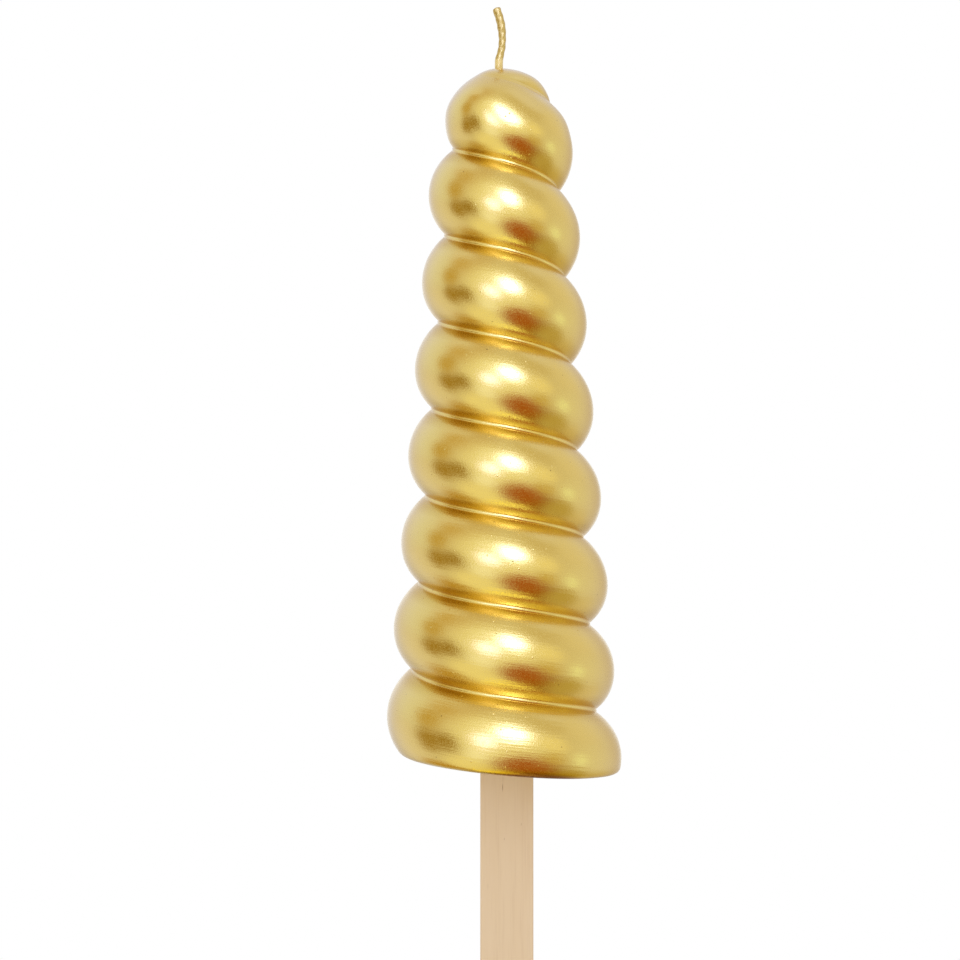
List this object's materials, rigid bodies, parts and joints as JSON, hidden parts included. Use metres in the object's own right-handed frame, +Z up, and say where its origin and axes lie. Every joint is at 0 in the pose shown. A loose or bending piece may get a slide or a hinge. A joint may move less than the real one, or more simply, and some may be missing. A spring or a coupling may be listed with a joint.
{
  "type": "horn candle",
  "caption": "Tapering spiral horn candle in gold-lacquered wax, with a cotton wick at its round tip and a flat wooden stick that pushes into a cake.",
  "frame": {"origin": "where the horn's axis crosses its flat base", "axes": "+Z up along the horn's axis to its tip, +X to the right and -Y to the front, with the stick's broad face to the front"},
  "size_m": [0.0416, 0.0418, 0.1741],
  "materials": {
    "gold_wax": "satin metallic gold lacquer sprayed over moulded paraffin wax",
    "gold_wick": "braided cotton, waxed and coated with the same gold lacquer where it shows",
    "birch": "plain sanded birch veneer, unvarnished"
  },
  "bodies": {
    "horn": {"wax_horn": "gold_wax", "wick": "gold_wick"},
    "stick": {"stick": "birch"}
  },
  "joints": [
    {"name": "stick_slide", "type": "slide", "parent": "horn", "child": "stick", "axis": [0, 0, -1], "range_m": [0, 0.074]}
  ]
}
